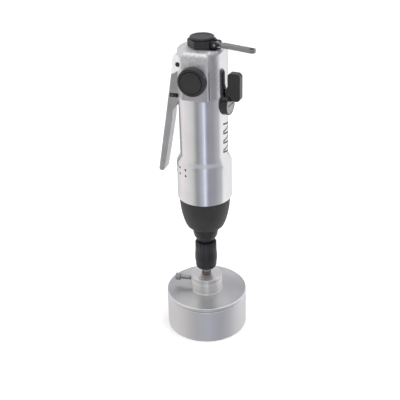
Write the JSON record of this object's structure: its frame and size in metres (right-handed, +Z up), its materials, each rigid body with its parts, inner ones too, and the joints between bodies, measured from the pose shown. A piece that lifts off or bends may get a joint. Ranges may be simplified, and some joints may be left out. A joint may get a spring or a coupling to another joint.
{
  "type": "capping machine",
  "caption": "Hand-held pneumatic capping machine: lever-throttle air motor, geared clutch drive and a quick-change chuck with a rubber cap ring.",
  "frame": {"origin": "centre of the chuck's bottom face, on the tool axis", "axes": "+Z up the tool axis, -X towards the throttle lever, -Y towards the side air port, +X towards the side of the reverse lever"},
  "size_m": [0.0851, 0.0714, 0.2691],
  "materials": {
    "cast_alu": "polished cast",
    "turned_alu": "fine turned",
    "black_steel": "black oxide",
    "brass_mesh": "drawn",
    "brass": "turned",
    "bronze": "sintered",
    "black_plastic": "moulded",
    "gloss_black": "gloss",
    "lever_steel": "brushed",
    "steel": "ground",
    "bearing_steel": "polished",
    "spring_steel": "drawn",
    "iron": "ground",
    "rubber": "matte",
    "gasket": "fibre",
    "phenolic": "laminated",
    "felt": "felted",
    "silicone": "satin"
  },
  "bodies": {
    "tool": {"housing": "cast_alu", "inlet_bushing": "black_steel", "inlet_strainer": "brass_mesh", "lever_pin": "black_steel", "valve_guide": "brass", "valve_spring": "spring_steel", "reverse_sleeve": "brass", "motor_gasket": "gasket", "rear_plate": "iron", "rear_bearing": "bearing_steel", "motor_cylinder": "iron", "front_plate": "iron", "front_bearing": "bearing_steel", "cylinder_pin": "steel", "exhaust_silencer": "felt", "ring_gear": "steel", "clutch_case": "black_steel", "carrier_bearing": "bearing_steel", "spindle_bearing": "bronze", "nose_cover": "rubber", "nose_cap": "black_steel"},
    "top_cap": {"top_cap": "black_plastic"},
    "front_cap": {"front_cap": "black_plastic"},
    "hanger_collar": {"hanger_collar": "black_steel", "hanger_pin": "steel"},
    "hanger_arm": {"hanger_arm": "steel"},
    "throttle_lever": {"throttle_lever": "lever_steel"},
    "plunger": {"throttle_plunger": "brass", "valve_seal": "rubber"},
    "reverse": {"reverse_lever": "gloss_black", "reverse_spool": "steel", "reverse_screw": "steel", "spool_oring": "rubber"},
    "rotor": {"rotor": "steel", "rotor_vanes": "phenolic"},
    "carrier": {"planet_carrier": "steel", "planet_pins": "bearing_steel", "clutch_driver": "steel", "clutch_balls": "bearing_steel"},
    "planet_a": {"planet_gear_a": "steel"},
    "planet_b": {"planet_gear_b": "steel"},
    "planet_c": {"planet_gear_c": "steel"},
    "spindle": {"spindle": "black_steel", "clutch_plate": "steel", "clutch_spring": "spring_steel", "adjusting_nut": "steel", "retaining_ring": "spring_steel", "holder_ball": "bearing_steel", "holder_spring": "spring_steel"},
    "sleeve": {"holder_sleeve": "black_steel"},
    "chuck": {"hex_bit": "steel", "bit_collar": "bronze", "chuck_lid": "turned_alu", "backing_pad": "rubber"},
    "lock_screw": {"lock_screw": "steel"},
    "cup": {"chuck_cup": "turned_alu", "silicone_ring": "silicone"}
  },
  "joints": [
    {"name": "rotor_spin", "type": "hinge", "parent": "tool", "child": "rotor", "pos_m": [0, 0, 0.18], "axis": [0, 0, 1], "continuous": true},
    {"name": "carrier_spin", "type": "hinge", "parent": "tool", "child": "carrier", "pos_m": [0, 0, 0.14], "axis": [0, 0, 1], "continuous": true},
    {"name": "planet_a_spin", "type": "hinge", "parent": "carrier", "child": "planet_a", "pos_m": [0.0081, 0, 0.15], "axis": [0, 0, 1], "continuous": true},
    {"name": "planet_b_spin", "type": "hinge", "parent": "carrier", "child": "planet_b", "pos_m": [-0.00405, 0.00701, 0.15], "axis": [0, 0, 1], "continuous": true},
    {"name": "planet_c_spin", "type": "hinge", "parent": "carrier", "child": "planet_c", "pos_m": [-0.00405, -0.00701, 0.15], "axis": [0, 0, 1], "continuous": true},
    {"name": "spindle_spin", "type": "hinge", "parent": "tool", "child": "spindle", "pos_m": [0, 0, 0.11], "axis": [0, 0, 1], "continuous": true},
    {"name": "sleeve_pull", "type": "slide", "parent": "spindle", "child": "sleeve", "axis": [0, 0, -1], "range_m": [0, 0.004], "stiffness_N_per_m": 900, "springref_m": -0.002, "deforming": ["holder_spring"]},
    {"name": "bit_pull", "type": "slide", "parent": "spindle", "child": "chuck", "axis": [0, 0, -1], "range_m": [0, 0.03]},
    {"name": "lock_screw_turn", "type": "slide", "parent": "chuck", "child": "lock_screw", "axis": [-0.9936, -0.1132, 0], "range_m": [0, 0.005]},
    {"name": "cup_unscrew", "type": "slide", "parent": "chuck", "child": "cup", "axis": [0, 0, -1], "range_m": [0, 0.012]},
    {"name": "lever_press", "type": "hinge", "parent": "tool", "child": "throttle_lever", "pos_m": [-0.017, 0, 0.2475], "axis": [0, -1, 0], "range_deg": [0, 4], "stiffness_Nm_per_rad": 2},
    {"name": "plunger_push", "type": "slide", "parent": "tool", "child": "plunger", "axis": [1, 0, 0], "range_m": [0, 0.0024], "deforming": ["valve_spring"]},
    {"name": "reverse_turn", "type": "hinge", "parent": "tool", "child": "reverse", "pos_m": [0.01989, -0.00209, 0.2156], "axis": [0.9945, -0.1045, 0], "range_deg": [-40, 40]},
    {"name": "hanger_swivel", "type": "hinge", "parent": "tool", "child": "hanger_collar", "pos_m": [0, 0, 0.263], "axis": [0, 0, 1], "continuous": true},
    {"name": "hanger_fold", "type": "hinge", "parent": "hanger_collar", "child": "hanger_arm", "pos_m": [0.01303, -0.00313, 0.2643], "axis": [-0.2334, -0.9724, 0], "range_deg": [0, 93]},
    {"name": "top_cap_pull", "type": "slide", "parent": "tool", "child": "top_cap", "axis": [0, 0, 1], "range_m": [0, 0.05]},
    {"name": "front_cap_pull", "type": "slide", "parent": "tool", "child": "front_cap", "axis": [0, -1, 0], "range_m": [0, 0.05]}
  ],
  "couplings": [
    {"joint": "carrier_spin", "follows": "rotor_spin", "ratio": 0.22222},
    {"joint": "spindle_spin", "follows": "rotor_spin", "ratio": 0.22222},
    {"joint": "planet_a_spin", "follows": "rotor_spin", "ratio": -0.62222},
    {"joint": "planet_b_spin", "follows": "rotor_spin", "ratio": -0.62222},
    {"joint": "planet_c_spin", "follows": "rotor_spin", "ratio": -0.62222},
    {"joint": "plunger_push", "follows": "lever_press", "m_per_rad": 0.0284}
  ]
}
